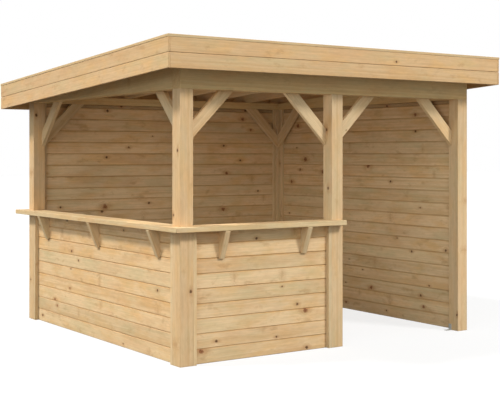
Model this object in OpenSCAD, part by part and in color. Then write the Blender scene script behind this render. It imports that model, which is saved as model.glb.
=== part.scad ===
// Garden bar with a mono-pitch roof. Five square posts carry level beams, braced at every
// corner. Low boarded walls with a counter close the left side and half of the front, full
// boarded walls close the back and the right side, and the rest of the front is the entrance.
// X runs along the front to the right, Y from the front to the back, Z up, in millimetres.
// The origin is on the ground under the middle of the roof.

/* [Frame] */
// Width over the outer faces of the posts
width = 3000; // [2500:10:3700]
// Depth over the outer faces of the posts
depth = 2900; // [2400:10:3600]
// Height of the posts, up to the underside of the beams
post_h = 2085; // [1800:5:2500]
// Side of the square posts
post = 115; // [95:1:140]
// Height of the front beam
front_beam_h = 235; // [160:1:285]
// Height of the back beam
back_beam_h = 70; // [50:1:120]
// Clear width of the counter bay beside the entrance
front_bar_w = 1327; // [1000:1:1650]

/* [Braces] */
// Reach of a brace, down the post and along the beam
brace_reach = 415; // [250:5:500]
// Width of a brace
brace_w = 95; // [60:1:120]
// Thickness of a brace
brace_t = 35; // [25:1:45]

/* [Walls] */
// Thickness of the wall boards
wall_t = 19; // [15:1:28]
// Set-back of the wall boards from the outer faces of the posts
wall_recess = 35; // [20:1:45]
// Width of the beads that hold the wall boards to the posts
bead_w = 32; // [20:1:45]
// Clearance between the inner beads and the braces and post angles beside them
bead_clear = 1; // [0.5:0.5:5]

/* [Counter] */
// Height of the counter's top above the ground
counter_h = 1050; // [850:5:1250]
// Thickness of the counter
counter_t = 40; // [28:1:60]
// Overhang of the counter past the outer faces of the posts
counter_overhang = 72; // [40:1:150]
// Run of the side counter past the back post
counter_back_run = 170; // [10:5:195]
// Set-back of the counter's open end from the entrance side of the middle post
counter_end_setback = 14; // [2:1:60]
// Height of a counter bracket
bracket_h = 220; // [120:5:300]
// Thickness of a counter bracket
bracket_t = 45; // [28:1:60]
// Distance from a post to the middle of the nearest bracket
bracket_inset = 270; // [100:5:450]
// Depth of the blunt lower end of a bracket
bracket_toe = 17; // [5:1:30]
// Height of the upright nose of a bracket
bracket_nose = 10; // [2:1:40]
// Set-back of the bracket's nose from the counter's outer edge
bracket_setback = 4; // [0:1:30]

/* [Roof frame] */
// Overhang of the roof past the posts at the front
overhang_front = 190; // [120:5:400]
// Overhang of the roof past the posts at the back
overhang_back = 200; // [195:5:400]
// Overhang of the roof past the posts on each side
overhang_side = 210; // [140:5:400]
// Number of rafters over the posts
rafter_count = 7; // [4:1:10]
// Width of a rafter
rafter_w = 45; // [35:1:60]
// Height of a rafter
rafter_h = 95; // [70:1:145]
// Depth of the seats cut in the rafters over the beams
seat_cut = 10; // [8:1:25]
// Thickness of the rim boards and verge rafters behind the fascia
rim_t = 35; // [20:1:45]

/* [Roof skin] */
// Thickness of the roof boards
deck_t = 18; // [15:1:28]
// Thickness of the roofing felt
felt_t = 3; // [2:0.5:6]
// Height of the finished roof edge above the felt
upstand = 27; // [27:1:60]
// Face height of one fascia board, laid two high
fascia_board_h = 113; // [95:1:145]
// Thickness of the fascia boards
fascia_t = 19; // [15:1:28]
// Height of the edge batten on top of the fascia
trim_h = 20; // [15:1:26]
// Width of the edge batten
trim_w = 45; // [30:1:60]
// How far the edge batten stands proud of the fascia
trim_proud = 3; // [0:1:10]

/* [Post angles] */
// Height of the upright leg of a post angle
angle_h = 55; // [40:1:90]
// Length of the flat leg of a post angle
angle_leg = 60; // [40:1:90]
// Width of a post angle
angle_w = 35; // [25:1:50]
// Thickness of the sheet of a post angle
angle_t = 2.5; // [1.5:0.5:4]
// Diameter of the anchor hole in the flat leg
anchor_d = 11; // [8:0.5:13]
// Distance of the anchor hole from the post
anchor_x = 38; // [25:1:45]
// Diameter of the screw holes in the upright leg
screw_d = 5; // [4:0.5:7]

/* [Hidden] */
$fn = 32;

spruce = "burlywood";
pale_spruce = "wheat";
shaded_spruce = "peru";

// Near faces of the right and back posts, left face of the middle post, underside of the counter
far_x = width - post;
far_y = depth - post;
middle_x = post + front_bar_w;
counter_z = counter_h - counter_t;

// Wall boards and their beads, measured in from the outer faces of the posts
wall_inner = wall_recess + wall_t;
inner_bead_t = post - max(brace_t, angle_w) - bead_clear - wall_inner;

// Roof: its fall comes from the two beams that the rafters sit on
pitch = (front_beam_h - back_beam_h) / depth;
function rafter_z(y) = post_h + front_beam_h - seat_cut - pitch * y;
roof_x0 = -overhang_side;
roof_x1 = width + overhang_side;
roof_y0 = -overhang_front;
roof_y1 = depth + overhang_back;
skin_x0 = roof_x0 + fascia_t;
skin_x1 = roof_x1 - fascia_t;
skin_y0 = roof_y0 + fascia_t;
skin_y1 = roof_y1 - fascia_t;
edge_z = rafter_h + deck_t + felt_t + upstand - trim_h;
fascia_h = 2 * fascia_board_h;
trim_x0 = roof_x0 - trim_proud;
trim_x1 = roof_x1 + trim_proud;
trim_y0 = roof_y0 - trim_proud;
trim_y1 = roof_y1 + trim_proud;

// Moves the frame's own corner coordinates to the part's origin
module in_place() {
    translate([-width / 2, -(roof_y0 + roof_y1) / 2, 0]) children();
}

// A flat piece with its outline in Y and Z, running along X
module yz_piece(outline, x, run) {
    translate([x, 0, 0]) rotate([90, 0, 90]) linear_extrude(run) polygon(outline);
}

// A flat piece with its outline in X and Z, running along Y
module xz_piece(outline, y, run) {
    translate([0, y + run, 0]) rotate([90, 0, 0]) linear_extrude(run) polygon(outline);
}

// A roof piece with plumb ends whose top and underside follow the fall of the roof,
// its underside rise above the underside of the rafters
module roof_piece(x0, x1, y0, y1, rise, h) {
    low = [for (y = [y0, y1]) [y, rafter_z(y) + rise]];
    high = [for (y = [y1, y0]) [y, rafter_z(y) + rise + h]];
    yz_piece(concat(low, high), x0, x1 - x0);
}

module post_at(x, y) {
    color(spruce) in_place() translate([x, y, 0]) cube([post, post, post_h]);
}

module beam_across(y, h) {
    color(spruce) in_place() translate([0, y, post_h]) cube([width, post, h]);
}

// A side beam hangs between the front and back beams, its top sawn to the roof's fall
module beam_along(x) {
    outline = [[post, post_h], [far_y, post_h], [far_y, rafter_z(far_y)], [post, rafter_z(post)]];
    color(spruce) in_place() yz_piece(outline, x, post);
}

// A 45 degree brace from the post face at p, its reach going out towards dir
function brace_outline(p, dir) =
    let (inner = brace_reach - brace_w * sqrt(2))
    [[p, post_h - brace_reach], [p + dir * brace_reach, post_h],
     [p + dir * inner, post_h], [p, post_h - inner]];

module brace_across(p, dir, y) {
    xz_piece(brace_outline(p, dir), y, brace_t);
}

module brace_along(p, dir, x) {
    yz_piece(brace_outline(p, dir), x, brace_t);
}

module braces_front() {
    color(pale_spruce) in_place() {
        brace_across(post, 1, post - brace_t);
        brace_across(middle_x, -1, post - brace_t);
        brace_across(middle_x + post, 1, post - brace_t);
        brace_across(far_x, -1, post - brace_t);
    }
}

module braces_back() {
    color(pale_spruce) in_place() {
        brace_across(post, 1, far_y);
        brace_across(far_x, -1, far_y);
    }
}

module braces_side(x) {
    color(pale_spruce) in_place() {
        brace_along(post, 1, x);
        brace_along(far_y, -1, x);
    }
}

// Boarded panels between two posts
module wall_along(x, h) {
    color(shaded_spruce) in_place() translate([x, post, 0]) cube([wall_t, far_y - post, h]);
}

module wall_across(y, x1, h) {
    color(shaded_spruce) in_place() translate([post, y, 0]) cube([x1 - post, wall_t, h]);
}

// Upright beads on both faces of a panel, beside the posts at its two ends
module beads_along(outer_x, inner_x, h) {
    color(pale_spruce) in_place() for (y = [post, far_y - bead_w]) {
        translate([outer_x, y, 0]) cube([wall_recess, bead_w, h]);
        translate([inner_x, y, 0]) cube([inner_bead_t, bead_w, h]);
    }
}

module beads_across(outer_y, inner_y, x1, h) {
    color(pale_spruce) in_place() for (x = [post, x1 - bead_w]) {
        translate([x, outer_y, 0]) cube([bead_w, wall_recess, h]);
        translate([x, inner_y, 0]) cube([bead_w, inner_bead_t, h]);
    }
}

// The two counters meet in a mitre in front of the corner post, and fit round the posts
module counter_left() {
    outline = [[0, 0], [0, post], [post, post], [post, far_y], [0, far_y], [0, depth],
        [post, depth], [post, depth + counter_back_run],
        [-counter_overhang, depth + counter_back_run], [-counter_overhang, -counter_overhang]];
    color(spruce) in_place() translate([0, 0, counter_z]) linear_extrude(counter_t) polygon(outline);
}

module counter_front() {
    end_x = middle_x + post - counter_end_setback;
    outline = [[0, 0], [-counter_overhang, -counter_overhang], [end_x, -counter_overhang],
        [end_x, 0], [middle_x, 0], [middle_x, post], [post, post], [post, 0]];
    color(spruce) in_place() translate([0, 0, counter_z]) linear_extrude(counter_t) polygon(outline);
}

// A tapered bracket under the counter: from the wall boards out to its nose
bracket_outline = [
    [wall_recess, counter_z - bracket_h], [wall_recess, counter_z],
    [bracket_setback - counter_overhang, counter_z],
    [bracket_setback - counter_overhang, counter_z - bracket_nose],
    [wall_recess - bracket_toe, counter_z - bracket_h]
];

module counter_brackets_left() {
    middles = [post + bracket_inset, (post + far_y) / 2, far_y - bracket_inset];
    color(pale_spruce) in_place()
        for (y = middles) xz_piece(bracket_outline, y - bracket_t / 2, bracket_t);
}

module counter_brackets_front() {
    middles = [post + bracket_inset, middle_x - bracket_inset];
    color(pale_spruce) in_place()
        for (x = middles) yz_piece(bracket_outline, x - bracket_t / 2, bracket_t);
}

// Rafters run from the front rim to the back rim, with level seats over both beams
module rafters() {
    seat_front = post_h + front_beam_h;
    seat_back = post_h + back_beam_h;
    end_y0 = skin_y0 + rim_t;
    end_y1 = skin_y1 - rim_t;
    outline = [[end_y0, rafter_z(end_y0)], [0, rafter_z(0)], [0, seat_front], [post, seat_front],
        [post, rafter_z(post)], [far_y, rafter_z(far_y)], [far_y, seat_back], [depth, seat_back],
        [depth, rafter_z(depth)], [end_y1, rafter_z(end_y1)],
        [end_y1, rafter_z(end_y1) + rafter_h], [end_y0, rafter_z(end_y0) + rafter_h]];
    spacing = (width - rafter_w) / (rafter_count - 1);
    color(pale_spruce) in_place()
        for (i = [0 : rafter_count - 1]) yz_piece(outline, i * spacing, rafter_w);
}

module verge_rafters() {
    color(pale_spruce) in_place() for (x = [skin_x0, skin_x1 - rim_t])
        roof_piece(x, x + rim_t, skin_y0 + rim_t, skin_y1 - rim_t, 0, rafter_h);
}

module rim_at(y) {
    color(pale_spruce) in_place() roof_piece(skin_x0, skin_x1, y, y + rim_t, 0, rafter_h);
}

module roof_boards() {
    color(shaded_spruce) in_place() roof_piece(skin_x0, skin_x1, skin_y0, skin_y1, rafter_h, deck_t);
}

module roof_felt() {
    color("dimgray") in_place()
        roof_piece(skin_x0, skin_x1, skin_y0, skin_y1, rafter_h + deck_t, felt_t);
}

// The side fascias cover the ends of the front and back fascias
module fascia_across(y) {
    color(spruce) in_place() roof_piece(skin_x0, skin_x1, y, y + fascia_t, edge_z - fascia_h, fascia_h);
}

module fascia_along(x) {
    color(spruce) in_place()
        roof_piece(x, x + fascia_t, roof_y0, roof_y1, edge_z - fascia_h, fascia_h);
}

module edge_batten_across(y) {
    color(pale_spruce) in_place() roof_piece(trim_x0, trim_x1, y, y + trim_w, edge_z, trim_h);
}

module edge_batten_along(x) {
    color(pale_spruce) in_place()
        roof_piece(x, x + trim_w, trim_y0 + trim_w, trim_y1 - trim_w, edge_z, trim_h);
}

// A galvanised angle on the post face at x, its flat leg going out towards dir
module post_angle(x, y, dir) {
    translate([x, y, 0]) mirror([dir < 0 ? 1 : 0, 0, 0]) difference() {
        union() {
            cube([angle_leg, angle_w, angle_t]);
            cube([angle_t, angle_w, angle_h]);
        }
        translate([anchor_x, angle_w / 2, -1]) cylinder(h = angle_t + 2, d = anchor_d);
        for (y = [angle_w / 4, angle_w * 3 / 4])
            translate([-1, y, angle_h - screw_d * 3]) rotate([0, 90, 0])
                cylinder(h = angle_t + 2, d = screw_d);
    }
}

module post_angles() {
    color("silver") in_place() {
        post_angle(post, post - angle_w, 1);
        post_angle(middle_x + post, post - angle_w, 1);
        post_angle(far_x, post - angle_w, -1);
        post_angle(post, far_y, 1);
        post_angle(far_x, far_y, -1);
    }
}

post_at(0, 0);  // post_front_left
post_at(middle_x, 0);  // post_front_middle
post_at(far_x, 0);  // post_front_right
post_at(0, far_y);  // post_back_left
post_at(far_x, far_y);  // post_back_right
beam_across(0, front_beam_h);  // beam_front
beam_across(far_y, back_beam_h);  // beam_back
beam_along(0);  // beam_left
beam_along(far_x);  // beam_right
braces_front();
braces_side(post - brace_t);  // braces_left
braces_back();
braces_side(far_x);  // braces_right
wall_along(wall_recess, counter_z);  // wall_left_low
wall_across(wall_recess, middle_x, counter_z);  // wall_front_low
wall_across(depth - wall_inner, far_x, post_h);  // wall_back
wall_along(width - wall_inner, post_h);  // wall_right
beads_along(0, wall_inner, counter_z);  // beads_left
beads_across(0, wall_inner, middle_x, counter_z);  // beads_front
beads_across(depth - wall_recess, depth - wall_inner - inner_bead_t, far_x, post_h);  // beads_back
beads_along(width - wall_recess, width - wall_inner - inner_bead_t, post_h);  // beads_right
counter_left();
counter_front();
counter_brackets_left();
counter_brackets_front();
rafters();
verge_rafters();
rim_at(skin_y0);  // rim_front
rim_at(skin_y1 - rim_t);  // rim_back
roof_boards();
roof_felt();
fascia_across(roof_y0);  // fascia_front
fascia_across(skin_y1);  // fascia_back
fascia_along(roof_x0);  // fascia_left
fascia_along(skin_x1);  // fascia_right
edge_batten_across(trim_y0);  // edge_batten_front
edge_batten_across(trim_y1 - trim_w);  // edge_batten_back
edge_batten_along(trim_x0);  // edge_batten_left
edge_batten_along(trim_x1 - trim_w);  // edge_batten_right
post_angles();
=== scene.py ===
"""The looks of a timber garden bar: planed, pressure-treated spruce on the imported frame.

Every timber is sawn from its own CAD solid or laid as boards in its place. Its grain, its
knots and its tone are stored on its faces in the timber's own directions, so the same few
materials give posts, boards, rafters and end grain the figure of real wood.
"""

import math
import random

import bmesh
import bpy
from mathutils import Matrix, Vector


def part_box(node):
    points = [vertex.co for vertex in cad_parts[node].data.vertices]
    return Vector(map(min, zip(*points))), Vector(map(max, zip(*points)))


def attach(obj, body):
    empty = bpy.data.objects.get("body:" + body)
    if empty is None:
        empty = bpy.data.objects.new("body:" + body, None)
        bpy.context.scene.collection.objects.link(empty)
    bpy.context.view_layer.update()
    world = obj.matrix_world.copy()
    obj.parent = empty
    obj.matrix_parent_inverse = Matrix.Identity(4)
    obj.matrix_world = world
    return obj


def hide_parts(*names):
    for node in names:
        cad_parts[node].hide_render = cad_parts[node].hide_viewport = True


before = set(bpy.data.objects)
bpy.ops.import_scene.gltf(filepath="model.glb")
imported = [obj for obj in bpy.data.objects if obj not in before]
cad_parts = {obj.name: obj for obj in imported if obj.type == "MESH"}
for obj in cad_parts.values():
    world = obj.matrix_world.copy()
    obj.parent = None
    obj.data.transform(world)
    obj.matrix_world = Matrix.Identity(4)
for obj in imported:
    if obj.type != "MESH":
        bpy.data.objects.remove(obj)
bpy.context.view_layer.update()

MM = 0.001

# Sections and details, in metres
FRAME_ARRIS = 3 * MM        # rounding of the edges of posts, beams and the counter
FASCIA_ARRIS = 2.5 * MM     # rounding of the fascia boards' edges
SLIM_ARRIS = 2 * MM         # rounding of the edges of braces, beads, rafters and battens
COVER = 114 * MM            # height that one tongue-and-groove board covers
BOARD_GAP = 2.4 * MM        # open joint between two boards
CHAMFER = 4.5 * MM          # V at each edge of a board's face
JOINT_PAINTED_SHADE = 3.0            # painted shade in the joints: how much darker a board's edges are, in steps of 5 %
JOINT_SHADE_WARMTH = 3.0          # how much browner that painted shade in the joints is, in steps of 16 % of the honey colour
RIP_PAINTED_SHADE = 7.0             # painted shade under the beam: how much darker the narrow rip is, in steps of 5 %
TONGUE = 6 * MM             # thickness of the tongue
TONGUE_REACH = 7 * MM       # how far the tongue stands out
GROOVE_SLACK = 0.4 * MM     # play of the tongue in its groove
FASCIA_BOARDS = 2           # fascia boards, one above the other
FASCIA_SEAM = 2.5 * MM      # open seam between them
FELT_ROLL = 1000 * MM       # width of a roll of roofing felt
FELT_LAP = 80 * MM          # overlap of two strips of felt
FELT_CUTS = 48              # cuts along a strip, so that it can ripple
FELT_RIPPLE = 0.8 * MM      # height of the felt's ripples
FLOOR_REACH = 60            # how far the floor reaches from the bar's middle
FLOOR_WHITE = 0.78          # share of the floor's colour that is plain white and takes no shadow

# Kinds of knot: a dark one, a larger red one, and a pale spike across the board
DARK, RED, SPIKE = 0, 1, 2
RED_SIZE = 1.7              # how many times larger a red knot is than the others
NO_KNOT = (1, 1, 1 * MM)    # a small knot a metre away, which doesn't show

# A spruce grows a ring of branches about every half metre, so its knots lie near those rings
BRANCH_STEP = 520 * MM      # between two rings of branches
BRANCH_PLAY = 110 * MM      # how far a knot may lie from its ring of branches
KNOT_MARGIN = 30 * MM       # least distance of a knot from the timber's ends
GROWTH_RING = 6.5 * MM      # a year's growth, drawn coarser than its 2 to 4 mm so that it shows

# Each sort of timber: the share of its rings of branches that show a knot, the largest radius
# of a knot that isn't red, and how much its timbers differ in tone
SORTS = {
    "post": (0.75, 13 * MM, 0.5),
    "beam": (0.32, 12 * MM, 0.5),
    "wall board": (0.5, 12 * MM, 1.2),
    "roof board": (0.32, 10 * MM, 1.0),
    "rafter": (0.32, 9 * MM, 1.0),
    "fascia": (0.1, 9 * MM, 0.6),
    "counter": (0.1, 7 * MM, 0.5),
    "brace": (0.1, 6 * MM, 1.0),
    "batten": (0.1, 5 * MM, 0.4),
}

# The roof's fall, from the tops of the beams that carry the rafters
FALL = (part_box("beam_front")[1].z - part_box("beam_back")[1].z) / (
    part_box("post_back_left")[1].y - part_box("post_front_left")[0].y)


# ---------------------------------------------------------------- camera and light

def make_camera():
    """A level camera at eye height, in front of the counter's corner."""
    camera = bpy.data.objects.new("camera", bpy.data.cameras.new("camera"))
    camera.data.sensor_width = 36
    camera.data.lens = 76.38
    camera.data.shift_x = -0.0117
    camera.data.shift_y = -0.0929
    camera.location = (-5.4946, -8.3050, 1.5976)
    camera.rotation_euler = (math.radians(90), 0, math.radians(-34.34))
    camera.data.clip_end = 200
    bpy.context.scene.collection.objects.link(camera)
    bpy.context.scene.camera = camera


def make_lamp(name, direction, strength, spread, colour):
    """A soft, distant lamp that shines along direction, with its spread in degrees."""
    lamp = bpy.data.objects.new(name, bpy.data.lights.new(name, "SUN"))
    lamp.data.energy = strength
    lamp.data.angle = math.radians(spread)
    lamp.data.color = colour
    lamp.rotation_euler = Vector(direction).to_track_quat("-Z", "Y").to_euler()
    bpy.context.scene.collection.objects.link(lamp)


def make_softbox(name, centre, width, height, direction, watts):
    """A wide, weak lamp that the camera doesn't see, which lifts the shade under the roof."""
    lamp = bpy.data.objects.new(name, bpy.data.lights.new(name, "AREA"))
    lamp.data.shape = "RECTANGLE"
    lamp.data.size = width
    lamp.data.size_y = height
    lamp.data.energy = watts
    lamp.data.color = (0.97, 0.98, 0.94)
    lamp.location = centre
    lamp.rotation_euler = Vector(direction).to_track_quat("-Z", "Y").to_euler()
    lamp.visible_camera = False
    bpy.context.scene.collection.objects.link(lamp)


def linear(hexa, alpha=1.0):
    """An sRGB hex colour as linear RGBA."""
    parts = [int(hexa[i:i + 2], 16) / 255 for i in (0, 2, 4)]
    curved = [c / 12.92 if c <= 0.04045 else ((c + 0.055) / 1.055) ** 2.4 for c in parts]
    return (*curved, alpha)


# ---------------------------------------------------------------- nodes

def add_node(tree, kind, settings=None, links=None):
    """Adds a node: settings are its own or its inputs' values, links its inputs' sources."""
    node = tree.nodes.new(kind)
    for name, value in (settings or {}).items():
        if hasattr(node, name) and not isinstance(name, int):
            setattr(node, name, value)
        else:
            node.inputs[name].default_value = value
    for name, source in (links or {}).items():
        tree.links.new(source, node.inputs[name])
    return node


def new_material(name):
    """An empty material and its node tree."""
    material = bpy.data.materials.new(name)
    material.use_nodes = True
    material.node_tree.nodes.clear()
    return material, material.node_tree


def smooth_step(tree, value, start, end, low=0.0, high=1.0):
    """value brought from start..end to low..high along a smooth curve."""
    node = add_node(tree, "ShaderNodeMapRange", {"interpolation_type": "SMOOTHSTEP"}, {"Value": value})
    for name, number in zip(("From Min", "From Max", "To Min", "To Max"), (start, end, low, high)):
        node.inputs[name].default_value = number
    return node.outputs["Result"]


def calculate(tree, operation, first, second=None, third=None):
    """One Math node, whose inputs are sockets or numbers."""
    node = add_node(tree, "ShaderNodeMath", {"operation": operation})
    for i, value in enumerate((first, second, third)):
        if isinstance(value, (int, float)):
            node.inputs[i].default_value = value
        elif value is not None:
            tree.links.new(value, node.inputs[i])
    return node.outputs[0]


def tint(tree, base, colour, amount, blend="MIX"):
    """base mixed with a colour, which is hex or a socket, by amount, a socket or a number."""
    node = add_node(tree, "ShaderNodeMix", {"data_type": "RGBA", "blend_type": blend})
    for place, value in ((0, amount), (6, base), (7, colour)):
        if isinstance(value, str):
            node.inputs[place].default_value = linear(value)
        elif isinstance(value, (int, float)):
            node.inputs[place].default_value = value
        else:
            tree.links.new(value, node.inputs[place])
    return node.outputs[2]


def noise(tree, vector, scale, stretch=(1, 1, 1), detail=3.0, roughness=0.55):
    """Noise at scale cells a metre, on coordinates stretched along the grain."""
    stretched = add_node(tree, "ShaderNodeVectorMath", {"operation": "MULTIPLY"}, {0: vector})
    stretched.inputs[1].default_value = stretch
    return add_node(tree, "ShaderNodeTexNoise", {"Scale": scale, "Detail": detail, "Roughness": roughness},
                    {"Vector": stretched.outputs[0]}).outputs["Fac"]


# ---------------------------------------------------------------- materials

def stored_numbers(tree, name):
    """The three numbers that figure() stored on the faces under a name."""
    stored = add_node(tree, "ShaderNodeAttribute", {"attribute_name": name})
    return add_node(tree, "ShaderNodeSeparateXYZ", None, {"Vector": stored.outputs["Vector"]}).outputs


def knot_distance(tree, square_along, square_across, radius, ragged, share):
    """Distance from a knot's middle, in radii. The way along the grain counts by a share."""
    squares = calculate(tree, "MULTIPLY_ADD", square_along, share, square_across)
    straight = calculate(tree, "SQRT", squares)
    return calculate(tree, "ADD", calculate(tree, "DIVIDE", straight, radius), ragged)


def flow_round(tree, grain, across, radius, square_along, square_across):
    """The grain's coordinates, bent round a knot as water flows round a stone."""
    strength = calculate(tree, "MULTIPLY", calculate(tree, "MULTIPLY", radius, radius), 2.6)
    above_zero = calculate(tree, "ADD", square_across, 1e-7)
    reach = calculate(tree, "DIVIDE", strength, calculate(tree, "ADD", square_along, above_zero))
    shift = calculate(tree, "MULTIPLY", across, calculate(tree, "MINIMUM", reach, 1.0))
    shifted = add_node(tree, "ShaderNodeCombineXYZ", {"X": 0.0}, {"Y": shift, "Z": shift}).outputs[0]
    return add_node(tree, "ShaderNodeVectorMath", {"operation": "SUBTRACT"},
                    {0: grain, 1: shifted}).outputs[0]


def growth_rings(tree, flow):
    """Late wood of the growth rings about the pith, and broader bands of years, as shares."""
    wobble = calculate(tree, "MULTIPLY_ADD", noise(tree, flow, 6, (0.3, 1, 1), 2), 0.02, -0.01)
    flat = add_node(tree, "ShaderNodeVectorMath", {"operation": "MULTIPLY"}, {0: flow})
    flat.inputs[1].default_value = (0, 1, 1)
    length = add_node(tree, "ShaderNodeVectorMath", {"operation": "LENGTH"}, {0: flat.outputs[0]})
    radius = calculate(tree, "ADD", wobble, length.outputs["Value"])
    ring = calculate(tree, "FRACT", calculate(tree, "DIVIDE", radius, GROWTH_RING))
    late_wood = calculate(tree, "MULTIPLY", smooth_step(tree, ring, 0.25, 0.9),
                          smooth_step(tree, ring, 0.9, 1.0, 1, 0))
    bands = add_node(tree, "ShaderNodeTexNoise", {
        "noise_dimensions": "1D", "Scale": 42.0, "Detail": 2.0}, {"W": radius}).outputs["Fac"]
    return late_wood, bands


def patched(tree, base, flow, warmth, strength):
    """The base colour in soft patches: honey where resin shows, a green-grey cast from the
    treatment, a pink blush, and brown smudges where branches lie just under the face."""
    patch = noise(tree, flow, 1, (3.4, 9, 9), 3)
    cast = noise(tree, flow, 1, (2.2, 7, 7), 3)
    blush = noise(tree, flow, 1, (2.8, 8, 8), 3)
    smudge = noise(tree, flow, 1, (7, 14, 14), 4, 0.6)
    honey = smooth_step(tree, patch, 0.44, 0.70, 0.0, 0.50 * strength)
    grey = smooth_step(tree, cast, 0.44, 0.70, 0.0, 0.45 * strength)
    colour = tint(tree, base, "DFAF6E", calculate(tree, "MULTIPLY_ADD", warmth, 0.16, honey))
    colour = tint(tree, colour, "C4B285", calculate(tree, "MULTIPLY_ADD", warmth, -0.18, grey))
    colour = tint(tree, colour, "CF9F6E", smooth_step(tree, blush, 0.46, 0.72, 0.0, 0.40 * strength))
    return tint(tree, colour, "AF7F4C", smooth_step(tree, smudge, 0.56, 0.74, 0.0, 0.42 * strength))


def shaded(tree, colour, flow, streak, brightness, end_grain):
    """The colour made lighter or darker by fine streaks, flecks, the timber's tone and its ends."""
    fleck = noise(tree, flow, 1, (17, 55, 55), 3)
    shade = calculate(tree, "MULTIPLY_ADD", brightness, 0.05,
                      smooth_step(tree, streak, 0.3, 0.72, 1.04, 0.935))
    shade = calculate(tree, "MULTIPLY", shade, smooth_step(tree, fleck, 0.3, 0.7, 1.03, 0.97))
    shade = calculate(tree, "MULTIPLY", shade, calculate(tree, "MULTIPLY_ADD", end_grain, -0.03, 1.0))
    shade = add_node(tree, "ShaderNodeCombineXYZ", None, {"X": shade, "Y": shade, "Z": shade}).outputs[0]
    colour = tint(tree, colour, shade, 1.0, "MULTIPLY")
    return tint(tree, colour, "B48A5C", calculate(tree, "MULTIPLY", end_grain, 0.12))


def knotted(tree, colour, grain, near, far, red, spike):
    """The colour with knots: stained wood along the grain, and a brown, red or paler heart."""
    stain = calculate(tree, "MULTIPLY_ADD", spike, -0.2, calculate(tree, "MULTIPLY_ADD", red, 0.05, 0.40))
    stain = calculate(tree, "MULTIPLY", stain, smooth_step(tree, far, 2.6, 0.7))
    colour = tint(tree, colour, "AE7440", stain)
    heart = tint(tree, tint(tree, "5E3A14", "87491F", red), "AC7A45", spike)
    depth = calculate(tree, "MULTIPLY_ADD", red, -0.10, 0.92)
    depth = calculate(tree, "MULTIPLY_ADD", spike, -0.68, depth)
    depth = calculate(tree, "MULTIPLY", depth, smooth_step(tree, near, 1.5, 0.65))
    colour = tint(tree, colour, heart, depth)
    cracks = smooth_step(tree, noise(tree, grain, 160, detail=1), 0.5, 0.62)
    cracks = calculate(tree, "MULTIPLY", cracks, smooth_step(tree, near, 1.0, 0.3))
    cracks = calculate(tree, "MULTIPLY", cracks, calculate(tree, "MULTIPLY_ADD", spike, -0.7, 0.7))
    return tint(tree, colour, "3A2008", cracks)


def treated_spruce(name, base, strength=1.0):
    """Spruce, planed and pressure-treated: pale honey with a green-grey cast in soft patches, faint
    darker late wood, brown knots that the grain flows round, and a dull, dry surface."""
    material, tree = new_material(name)
    grain = add_node(tree, "ShaderNodeAttribute", {"attribute_name": "grain"}).outputs["Vector"]
    kind = add_node(tree, "ShaderNodeAttribute", {"attribute_name": "kind"}).outputs["Fac"]
    brightness, warmth, end_grain = stored_numbers(tree, "tone")
    along, across, radius = stored_numbers(tree, "knot")
    red = calculate(tree, "COMPARE", kind, RED, 0.4)
    spike = calculate(tree, "COMPARE", kind, SPIKE, 0.4)

    # A spike is drawn out across the board, where a branch was sawn lengthwise
    across = calculate(tree, "MULTIPLY", across, calculate(tree, "MULTIPLY_ADD", spike, -0.72, 1.0))
    ragged = calculate(tree, "MULTIPLY_ADD", noise(tree, grain, 70, detail=2), 1.1, -0.55)
    torn = calculate(tree, "MULTIPLY_ADD", spike, 1.6, calculate(tree, "MULTIPLY_ADD", red, 0.8, 1.0))
    ragged = calculate(tree, "MULTIPLY", ragged, torn)
    square_across = calculate(tree, "MULTIPLY", across, across)
    square_along = calculate(tree, "MULTIPLY", along, along)

    # A knot's heart is nearly round, and the stained wood about it is long
    near = knot_distance(tree, square_along, square_across, radius, ragged, 0.8)
    far = knot_distance(tree, square_along, square_across, radius, ragged, 0.16)
    flow = flow_round(tree, grain, across, radius, square_along, square_across)
    late_wood, bands = growth_rings(tree, flow)
    streak = noise(tree, flow, 1, (2.5, 90, 90), 4)
    fibre = noise(tree, flow, 1, (18, 900, 900), 2)

    colour = patched(tree, base, flow, warmth, strength)
    colour = tint(tree, colour, "B98A52", calculate(tree, "MULTIPLY", late_wood, 0.10))
    colour = tint(tree, colour, "C29358", smooth_step(tree, bands, 0.46, 0.66, 0.0, 0.3))
    colour = shaded(tree, colour, flow, streak, brightness, end_grain)
    colour = knotted(tree, colour, grain, near, far, red, spike)

    height = calculate(tree, "MULTIPLY_ADD", fibre, 0.6, calculate(tree, "MULTIPLY", late_wood, 0.4))
    bump = add_node(tree, "ShaderNodeBump", {"Strength": 0.3, "Distance": 0.4 * MM}, {"Height": height})
    rough = smooth_step(tree, streak, 0.2, 0.8, 0.62, 0.78)
    shader = add_node(tree, "ShaderNodeBsdfPrincipled", {"IOR": 1.5},
                      {"Base Color": colour, "Roughness": rough, "Normal": bump.outputs[0]})
    add_node(tree, "ShaderNodeOutputMaterial", None, {"Surface": shader.outputs[0]})
    return material


def galvanised_sheet():
    """Hot-dip galvanised steel sheet: dull grey zinc with faint crystals."""
    material, tree = new_material("galvanised_sheet")
    place = add_node(tree, "ShaderNodeTexCoord").outputs["Object"]
    # Crystals of zinc, about 7 mm across
    spangle = add_node(tree, "ShaderNodeTexVoronoi", {"Scale": 1 / (7 * MM)},
                       {"Vector": place}).outputs["Distance"]
    colour = tint(tree, "B2B5B2", "D2D3CF", smooth_step(tree, spangle, 0.0, 0.8))
    shader = add_node(tree, "ShaderNodeBsdfPrincipled", {"Metallic": 0.7}, {
        "Base Color": colour, "Roughness": smooth_step(tree, spangle, 0.0, 0.8, 0.5, 0.65)})
    add_node(tree, "ShaderNodeOutputMaterial", None, {"Surface": shader.outputs[0]})
    return material


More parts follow.
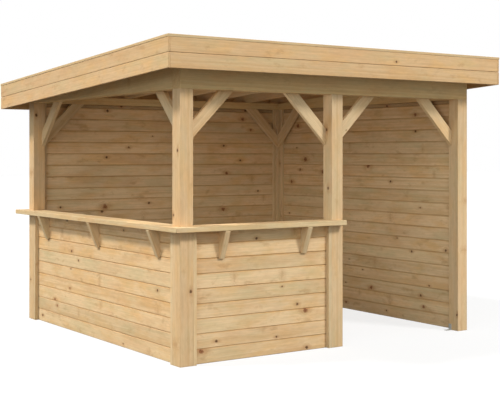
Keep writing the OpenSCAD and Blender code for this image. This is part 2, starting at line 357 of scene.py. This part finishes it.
def mineral_felt():
    """Bitumen roofing felt with slate granules: near black, mottled and quite rough."""
    material, tree = new_material("mineral_felt")
    place = add_node(tree, "ShaderNodeTexCoord").outputs["Object"]
    # Granules are 1 mm across; they are drawn at 3 mm so that they show
    granule = add_node(tree, "ShaderNodeTexVoronoi", {"Scale": 1 / (3 * MM)}, {"Vector": place})
    weather = noise(tree, place, 2.2, detail=4)
    colour = tint(tree, "34363A", "5A5C5E", smooth_step(tree, granule.outputs["Color"], 0.2, 0.9))
    colour = tint(tree, colour, "6C6A62", smooth_step(tree, weather, 0.45, 0.75, 0, 0.35))
    bump = add_node(tree, "ShaderNodeBump", {"Strength": 0.6, "Distance": 1 * MM},
                    {"Height": granule.outputs["Distance"]})
    shader = add_node(tree, "ShaderNodeBsdfPrincipled", {"Roughness": 0.9, "IOR": 1.6},
                      {"Base Color": colour, "Normal": bump.outputs[0]})
    add_node(tree, "ShaderNodeOutputMaterial", None, {"Surface": shader.outputs[0]})
    return material


# ---------------------------------------------------------------- timber shapes

def solids(node):
    """The CAD node's solids, each as a bmesh with whole, flat faces."""
    whole = bmesh.new()
    whole.from_mesh(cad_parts[node].data)
    bmesh.ops.remove_doubles(whole, verts=whole.verts, dist=0.01 * MM)
    bmesh.ops.dissolve_limit(whole, angle_limit=math.radians(1), verts=whole.verts, edges=whole.edges)
    left = set(whole.verts)
    groups = []
    while left:
        front = [left.pop()]
        group = set(front)
        while front:
            for edge in front.pop().link_edges:
                for vert in edge.verts:
                    if vert not in group:
                        group.add(vert)
                        front.append(vert)
        left -= group
        groups.append(group)
    groups.sort(key=lambda g: tuple(round(min(v.co[i] for v in g), 3) for i in range(3)))
    found = []
    for group in groups:
        solid = whole.copy()
        whole.verts.index_update()
        keep = {v.index for v in group}
        solid.verts.ensure_lookup_table()
        bmesh.ops.delete(solid, geom=[v for v in solid.verts if v.index not in keep], context="VERTS")
        found.append(solid)
    whole.free()
    return found


def box_of(bm):
    """Lowest and highest corner of a bmesh."""
    return (Vector([min(v.co[i] for v in bm.verts) for i in range(3)]),
            Vector([max(v.co[i] for v in bm.verts) for i in range(3)]))


def round_arrises(bm, size):
    """Rounds every edge of a timber, as a planer does, and leaves its faces flat."""
    made = bmesh.ops.bevel(bm, geom=bm.edges[:], offset=size, offset_type="OFFSET", affect="EDGES",
                           segments=2, profile=0.5, material=-1, clamp_overlap=True)
    for face in made["faces"]:
        face.smooth = True


def directions(bm):
    """A timber's own directions: along its longest edge, across it, and through its thickness."""
    edge = max(bm.edges, key=lambda e: round(e.calc_length(), 4))
    along = (edge.verts[1].co - edge.verts[0].co).normalized()
    if along[max(range(3), key=lambda i: abs(along[i]))] < 0:
        along.negate()
    lo, hi = box_of(bm)
    size = hi - lo
    sides = [i for i in range(3) if abs(along[i]) < 0.01]
    through = Vector((0, 0, 0))
    through[min(sides, key=lambda i: round(size[i], 4))] = 1
    return along, through.cross(along).normalized(), through


def pick_knots(rng, length, half, share, largest):
    """Random knots of one timber near its rings of branches, in order along it, as (along,
    across, radius, axis, kind)."""
    found = []
    is_square = abs(half[0] - half[1]) < 1 * MM
    branches = rng.uniform(0, BRANCH_STEP)
    while branches < length:
        at = branches + rng.uniform(-1, 1) * BRANCH_PLAY
        branches += BRANCH_STEP
        if rng.random() < share and KNOT_MARGIN < at < length - KNOT_MARGIN:
            axis = rng.choice((1, 2)) if is_square else 1
            kind = rng.choice((DARK, DARK, DARK, RED, SPIKE))
            radius = rng.uniform(0.45, 1) * largest * (RED_SIZE if kind == RED else 1)
            found.append((at, rng.uniform(-0.8, 0.8) * half[axis - 1], radius, axis, kind))
    return found


def extent(bm, direction):
    """Lowest and highest reach of a bmesh along a direction."""
    reach = [v.co.dot(direction) for v in bm.verts]
    return min(reach), max(reach)


def figure(bm, way, rng, sort, edge_painted_shade=0.0, edge_shade_warmth=0.0, shade=0.0):
    """Cuts a timber into lengths with one knot each, and stores its grain, knots and tone. A board's edges
    are darker and browner as painted shade in the joints, and shade darkens a whole board as painted shade,
    for the rip under a beam."""
    share, largest, spread = SORTS[sort]
    along, across, through = way
    start, end = extent(bm, along)
    sides, faces = extent(bm, across), extent(bm, through)
    middle = Vector(((sides[1] + sides[0]) / 2, (faces[1] + faces[0]) / 2))
    half = Vector(((sides[1] - sides[0]) / 2, (faces[1] - faces[0]) / 2))
    knots = pick_knots(rng, end - start, half, share, largest)
    cuts = [(a[0] + b[0]) / 2 + start for a, b in zip(knots, knots[1:])]
    for cut in cuts:
        bmesh.ops.bisect_plane(bm, geom=bm.verts[:] + bm.edges[:] + bm.faces[:], dist=1e-6,
                               plane_co=along * cut, plane_no=along)
    grain_layer, knot_layer, tone_layer = (
        bm.loops.layers.float_vector.new(name) for name in ("grain", "knot", "tone"))
    kind_layer = bm.loops.layers.float.new("kind")

    # Each timber has its own stretch of the pattern, its own pith, which drifts along it by a
    # share of the length, and its own tone
    offset = rng.uniform(0, 40)
    pith = Vector((rng.uniform(-0.05, 0.05), rng.choice((-1, 1)) * rng.uniform(0.015, 0.09)))
    drift = Vector((rng.uniform(-0.004, 0.004), rng.uniform(-0.008, 0.008)))
    brightness, warmth = (max(-1, min(1, rng.gauss(0, 0.55))) * spread for _ in range(2))
    # Painted shade: a board in the shadow of a beam is darker
    brightness -= shade
    for face in bm.faces:
        centre = face.calc_center_median().dot(along)
        is_end = abs(face.normal.dot(along)) > 0.5
        is_edge = abs(face.normal.dot(through)) < 0.9
        shows = {1: abs(face.normal.dot(through)) > 0.3, 2: abs(face.normal.dot(across)) > 0.3}
        here = sum(centre > cut for cut in cuts)
        for loop in face.loops:
            u, v, w = (loop.vert.co.dot(d) for d in way)
            u, v, w = u - start, v - middle[0], w - middle[1]
            loop[grain_layer] = (u + offset, v - pith[0] - drift[0] * u, w - pith[1] - drift[1] * u)
            # Painted shade: a board's edges, in the joints, are darker and browner
            if is_edge:
                loop[tone_layer] = (brightness - edge_painted_shade, warmth + edge_shade_warmth, float(is_end))
            else:
                loop[tone_layer] = (brightness, warmth, float(is_end))
            if knots and not is_end and shows[knots[here][3]]:
                at, side, radius, axis, loop[kind_layer] = knots[here]
                loop[knot_layer] = (u - at, (w if axis == 2 else v) - side, radius)
            else:
                loop[knot_layer] = NO_KNOT


def joined(name, parts, material, node):
    """One piece made of several bmeshes. It stands for the node and rides with the bar."""
    mesh = bpy.data.meshes.new(name)
    whole = bmesh.new()
    for layer in ("grain", "knot", "tone"):
        whole.loops.layers.float_vector.new(layer)
    whole.loops.layers.float.new("kind")
    for part in parts:
        part.to_mesh(mesh)
        whole.from_mesh(mesh)
        part.free()
    whole.to_mesh(mesh)
    whole.free()
    mesh.materials.clear()
    mesh.materials.append(material)
    piece = bpy.data.objects.new(name, mesh)
    bpy.context.scene.collection.objects.link(piece)
    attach(piece, "root")
    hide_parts(node)


def timbers(node, material, arris, sort):
    """Saws a piece from each solid of a node, rounds it, and gives it its figure."""
    parts = []
    for i, bm in enumerate(solids(node)):
        rng = random.Random(f"{node} {i}")
        way = directions(bm)
        round_arrises(bm, arris)
        figure(bm, way, rng, sort)
        parts.append(bm)
    joined(node + "_timber", parts, material, node)


def tongue_and_groove(cover, thickness, has_tongue=True):
    """A board's section, as (across, through) points from its lower edge up."""
    half, top = thickness / 2, cover - BOARD_GAP
    tongue, groove = TONGUE / 2, TONGUE / 2 + GROOVE_SLACK
    near = [(0, groove), (0, half - CHAMFER), (CHAMFER, half),
            (top - CHAMFER, half), (top, half - CHAMFER)]
    if has_tongue:
        near += [(top, tongue), (top + TONGUE_REACH, tongue)]
    slot = [(TONGUE_REACH + 1 * MM, -groove), (TONGUE_REACH + 1 * MM, groove)]
    return slot + near + [(a, -w) for a, w in reversed(near)]


def swept(section, length):
    """A bar with a section in Y and Z, along X from the origin."""
    bm = bmesh.new()
    face = bm.faces.new([bm.verts.new((0, a, w)) for a, w in section])
    top = bmesh.ops.extrude_face_region(bm, geom=[face])
    moved = [g for g in top["geom"] if isinstance(g, bmesh.types.BMVert)]
    bmesh.ops.translate(bm, verts=moved, vec=(length, 0, 0))
    bmesh.ops.recalc_face_normals(bm, faces=bm.faces)
    return bm


def boarded(node, material):
    """Horizontal tongue-and-groove boards in place of a wall, laid from the ground up."""
    lo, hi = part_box(node)
    size = hi - lo
    runs_x = size.x > size.y
    along = Vector((1, 0, 0)) if runs_x else Vector((0, 1, 0))
    through = Vector((0, 1, 0)) if runs_x else Vector((1, 0, 0))
    thickness, length = (size.y, size.x) if runs_x else (size.x, size.y)
    up = Vector((0, 0, 1))
    parts = []
    for i in range(math.ceil(size.z / COVER - 0.01)):
        rng = random.Random(f"{node} board {i}")
        height = min(COVER, size.z - i * COVER)
        is_top = height < COVER or (i + 1) * COVER > size.z - 1 * MM
        section = tongue_and_groove(height + (BOARD_GAP if is_top else 0), thickness, not is_top)
        bm = swept(section, length)
        corner = Vector((lo.x, lo.y, lo.z + i * COVER)) + through * thickness / 2
        place = Matrix([[along[r], up[r], through[r], corner[r]] for r in range(3)] + [[0, 0, 0, 1]])
        bmesh.ops.transform(bm, matrix=place, verts=bm.verts)
        bmesh.ops.recalc_face_normals(bm, faces=bm.faces)
        # The narrow rip at the top of a wall gets painted shade from the beam above it
        figure(bm, (along, up, through), rng, "wall board", JOINT_PAINTED_SHADE, JOINT_SHADE_WARMTH,
               RIP_PAINTED_SHADE if height < COVER / 2 else 0)
        parts.append(bm)
    joined(node + "_boards", parts, material, node)


def lay_on_roof(bm, y):
    """Shears a level bmesh to the roof's fall, its height unchanged at y."""
    shear = Matrix.Identity(4)
    shear[2][1] = -FALL
    shear[2][3] = FALL * y
    bmesh.ops.transform(bm, matrix=shear, verts=bm.verts)


def slab(lo, hi):
    """A level block between two corners."""
    bm = bmesh.new()
    bmesh.ops.create_cube(bm, size=1)
    bmesh.ops.scale(bm, vec=hi - lo, verts=bm.verts)
    bmesh.ops.translate(bm, vec=(lo + hi) / 2, verts=bm.verts)
    return bm


def roof_boards(material):
    """Tongue-and-groove roof boards, laid across the rafters from the front edge back."""
    lo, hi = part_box("roof_boards")
    thickness = hi.z - lo.z - FALL * (hi.y - lo.y)
    parts = []
    for i in range(math.ceil((hi.y - lo.y) / COVER)):
        rng = random.Random(f"roof board {i}")
        depth = min(COVER, hi.y - lo.y - i * COVER)
        is_last = depth < COVER
        section = tongue_and_groove(depth + (BOARD_GAP if is_last else 0), thickness, not is_last)
        bm = swept(section, hi.x - lo.x)
        bmesh.ops.translate(bm, vec=(lo.x, lo.y + i * COVER, hi.z - thickness / 2), verts=bm.verts)
        lay_on_roof(bm, lo.y)
        bmesh.ops.recalc_face_normals(bm, faces=bm.faces)
        figure(bm, (Vector((1, 0, 0)), Vector((0, 1, 0)), Vector((0, 0, 1))), rng, "roof board")
        parts.append(bm)
    joined("roof_boards_laid", parts, material, "roof_boards")


def fascia(node, material):
    """Two planed boards, one above the other, on the edge of the roof."""
    lo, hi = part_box(node)
    fall = FALL * (hi.y - lo.y)
    height = (hi.z - lo.z - fall) / FASCIA_BOARDS
    parts = []
    for i in range(FASCIA_BOARDS):
        rng = random.Random(f"{node} {i}")
        base = lo.z + fall + i * height
        bm = slab(Vector((lo.x, lo.y, base + (FASCIA_SEAM if i else 0))),
                  Vector((hi.x, hi.y, base + height)))
        lay_on_roof(bm, lo.y)
        way = directions(bm)
        round_arrises(bm, FASCIA_ARRIS)
        figure(bm, way, rng, "fascia")
        parts.append(bm)
    joined(node + "_boards", parts, material, node)


def felt(material):
    """Strips of felt with a faint ripple, the lower edge of each lapped over the strip below."""
    lo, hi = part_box("roof_felt")
    thickness = hi.z - lo.z - FALL * (hi.y - lo.y)
    step = FELT_ROLL - FELT_LAP
    parts = []
    end = hi.y
    while end > lo.y + FELT_LAP:
        start = max(lo.y, end - FELT_ROLL)
        bm = slab(Vector((lo.x, start, hi.z - thickness)), Vector((hi.x, end, hi.z)))
        long_edges = [e for e in bm.edges if e.calc_length() > (hi.x - lo.x) - 1 * MM]
        bmesh.ops.subdivide_edges(bm, edges=long_edges, cuts=FELT_CUTS, use_grid_fill=True)
        rng = random.Random(f"felt {end:.2f}")
        for vert in bm.verts:
            lap = 1.0 if end < hi.y - 1 * MM and vert.co.y > end - 1 * MM else 0.0
            ripple = rng.uniform(0, 1) * FELT_RIPPLE if vert.co.z > hi.z - thickness / 2 else 0
            vert.co.z += lap * thickness + ripple
        lay_on_roof(bm, lo.y)
        parts.append(bm)
        end -= step
    joined("roof_felt_strips", parts, material, "roof_felt")


# ---------------------------------------------------------------- the bar

def post_angles(material):
    """The galvanised angles at the posts' feet, which keep their CAD shape."""
    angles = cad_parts["post_angles"]
    angles.data.materials.clear()
    angles.data.materials.append(material)


def build():
    """Makes the materials and every piece of the bar."""
    frame_wood = treated_spruce("planed_spruce_posts", "D8B98F", strength=0.7)
    # The beams' wood is warmer and less blue than the posts': painted warm light of the shade under the
    # roof
    warm_shade_beam_wood = treated_spruce("planed_spruce_beams_painted_warm_shade", "D6B680", strength=0.7)
    brace_wood = treated_spruce("planed_spruce_braces", "DFC49A", strength=0.6)
    wall_wood = treated_spruce("planed_spruce_boards", "E5C599")
    roof_wood = treated_spruce("planed_spruce_rafters", "D2B28A")
    trim_wood = treated_spruce("planed_spruce_fascia", "D7B386")
    counter_wood = treated_spruce("planed_spruce_counter", "D9BF94", strength=0.8)
    zinc = galvanised_sheet()
    slate = mineral_felt()

    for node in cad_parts:
        if node.startswith(("post_front", "post_back")):
            timbers(node, frame_wood, FRAME_ARRIS, "post")
        elif node.startswith("beam_"):
            timbers(node, warm_shade_beam_wood, FRAME_ARRIS, "beam")
        elif node.startswith(("braces_", "beads_", "counter_brackets")):
            timbers(node, brace_wood, SLIM_ARRIS, "brace")
        elif node.startswith("counter_"):
            timbers(node, counter_wood, FRAME_ARRIS, "counter")
        elif node in ("rafters", "verge_rafters", "rim_front", "rim_back"):
            timbers(node, roof_wood, SLIM_ARRIS, "rafter")
        elif node.startswith("edge_batten"):
            timbers(node, counter_wood, SLIM_ARRIS, "batten")
        elif node.startswith("wall_"):
            boarded(node, wall_wood)
        elif node.startswith("fascia_"):
            fascia(node, trim_wood)
    roof_boards(roof_wood)
    felt(slate)
    post_angles(zinc)


# ---------------------------------------------------------------- floor and surroundings

def make_floor():
    """A plain floor. The camera sees it nearly white, with a soft shadow, and it throws a pale
    grey light up."""
    bm = bmesh.new()
    bmesh.ops.create_grid(bm, x_segments=1, y_segments=1, size=FLOOR_REACH)
    mesh = bpy.data.meshes.new("floor")
    bm.to_mesh(mesh)
    bm.free()
    floor = bpy.data.objects.new("floor", mesh)
    material, tree = new_material("pale_floor")
    rays = add_node(tree, "ShaderNodeLightPath")
    seen = calculate(tree, "MULTIPLY", rays.outputs["Is Camera Ray"], FLOOR_WHITE)
    shade = tint(tree, "6E6E6C", "FFFFFF", rays.outputs["Is Camera Ray"])
    plain = add_node(tree, "ShaderNodeBsdfDiffuse", None, {"Color": shade})
    white = add_node(tree, "ShaderNodeEmission", {"Color": (1, 1, 1, 1), "Strength": 1.0})
    mixed = add_node(tree, "ShaderNodeMixShader", None, {0: seen, 1: plain.outputs[0], 2: white.outputs[0]})
    add_node(tree, "ShaderNodeOutputMaterial", None, {"Surface": mixed.outputs[0]})
    mesh.materials.append(material)
    bpy.context.scene.collection.objects.link(floor)


def make_world():
    """An even surrounding light: white where it is seen, and weak and cool where it lights."""
    world = bpy.data.worlds.new("studio")
    world.use_nodes = True
    tree = world.node_tree
    tree.nodes.clear()
    rays = add_node(tree, "ShaderNodeLightPath")
    seen = calculate(tree, "MAXIMUM", rays.outputs["Is Camera Ray"], calculate(
        tree, "MAXIMUM", rays.outputs["Is Glossy Ray"], rays.outputs["Is Transmission Ray"]))
    soft = add_node(tree, "ShaderNodeBackground", {"Color": (0.9, 0.95, 0.94, 1), "Strength": 0.36})
    white = add_node(tree, "ShaderNodeBackground", {"Color": (1, 1, 1, 1), "Strength": 1.0})
    mixed = add_node(tree, "ShaderNodeMixShader", None, {0: seen, 1: soft.outputs[0], 2: white.outputs[0]})
    add_node(tree, "ShaderNodeOutputWorld", None, {"Surface": mixed.outputs[0]})
    bpy.context.scene.world = world


def make_lights():
    """Daylight from the left and the front, a weak fill, and three boxes for the shaded places."""
    make_lamp("lamp_left", (0.57, -0.30, -0.80), 3.1, 9, (1, 0.97, 0.92))
    make_lamp("lamp_front", (-0.33, 0.70, -0.68), 2.1, 12, (1, 0.98, 0.95))
    make_lamp("fill", (0.76, 0.60, -0.37), 1.15, 55, (0.9, 0.96, 0.98))
    make_softbox("box_floor", (0.4, -0.5, 0.02), 1.5, 1.5, (0, 0, 1), 1.5)
    make_softbox("box_left", (-1.3, -0.35, 1.4), 0.9, 0.9, (1, -0.15, 0.1), 7.5)
    make_softbox("box_front", (1.7, -3.0, 0.3), 1.4, 1, (-0.05, 0.6, 0.8), 6)


bpy.context.scene.view_settings.view_transform = "Standard"
make_camera()
make_floor()
make_world()
make_lights()
build()
